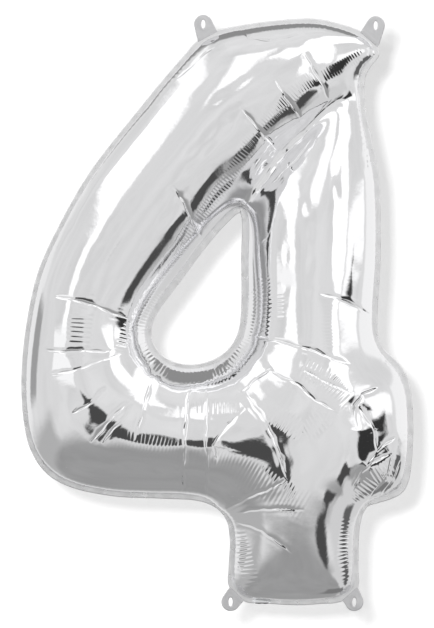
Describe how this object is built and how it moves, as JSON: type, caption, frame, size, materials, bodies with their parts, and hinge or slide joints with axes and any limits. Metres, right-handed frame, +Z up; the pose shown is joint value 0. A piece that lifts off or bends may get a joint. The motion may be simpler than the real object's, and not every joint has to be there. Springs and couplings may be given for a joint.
{
  "type": "foil number balloon",
  "caption": "Inflated silver foil balloon shaped as the digit 4, with a welded edge seam, punched hanging tabs and a self-sealing valve in the foot.",
  "frame": {"origin": "midway between the holes of the two top tabs, in the plane of the seam", "axes": "+Z up, -Y out of the front film, +X to the right seen from the front"},
  "size_m": [0.5746, 0.224, 0.875],
  "materials": {
    "foil": "mirror metallised film",
    "weld": "satin heat seal",
    "tab_film": "satin welded film",
    "valve_ply": "thin clear plastic film",
    "release_coating": "dark heat-proof coating"
  },
  "bodies": {
    "envelope": {"front_film": "foil", "back_film": "foil", "outer_heat_seal": "weld", "counter_heat_seal": "weld", "valve_neck": "valve_ply", "valve_release_coating": "release_coating"},
    "top_left_tab": {"top_left_tab": "tab_film"},
    "top_right_tab": {"top_right_tab": "tab_film"},
    "bottom_right_tab": {"bottom_right_tab": "tab_film"},
    "bottom_left_tab": {"bottom_left_tab": "tab_film"},
    "valve_front_tongue": {"valve_front_tongue": "valve_ply"},
    "valve_back_tongue": {"valve_back_tongue": "valve_ply"}
  },
  "joints": [
    {"name": "top_left_tab_flex", "type": "hinge", "parent": "envelope", "child": "top_left_tab", "pos_m": [-0.121, 0, -0.0155], "axis": [0.8815, 0, 0.4722], "range_deg": [-75, 75], "stiffness_Nm_per_rad": 0.001},
    {"name": "top_right_tab_flex", "type": "hinge", "parent": "envelope", "child": "top_right_tab", "pos_m": [0.118, 0, -0.02], "axis": [0.7634, 0, -0.6459], "range_deg": [-75, 75], "stiffness_Nm_per_rad": 0.001},
    {"name": "bottom_right_tab_flex", "type": "hinge", "parent": "envelope", "child": "bottom_right_tab", "pos_m": [0.09, 0, -0.83675], "axis": [-0.7483, 0, -0.6633], "range_deg": [-75, 75], "stiffness_Nm_per_rad": 0.001},
    {"name": "bottom_left_tab_flex", "type": "hinge", "parent": "envelope", "child": "bottom_left_tab", "pos_m": [-0.0785, 0, -0.83675], "axis": [-0.7328, 0, 0.6805], "range_deg": [-75, 75], "stiffness_Nm_per_rad": 0.001},
    {"name": "valve_front_flex", "type": "hinge", "parent": "envelope", "child": "valve_front_tongue", "pos_m": [-0.0405, -0.00035, -0.834], "axis": [1, 0, 0], "range_deg": [0, 12], "stiffness_Nm_per_rad": 0.002},
    {"name": "valve_back_flex", "type": "hinge", "parent": "envelope", "child": "valve_back_tongue", "pos_m": [-0.0405, 0.00035, -0.834], "axis": [-1, 0, 0], "range_deg": [0, 12], "stiffness_Nm_per_rad": 0.002}
  ],
  "couplings": [
    {"joint": "valve_back_flex", "follows": "valve_front_flex", "ratio": 1}
  ]
}
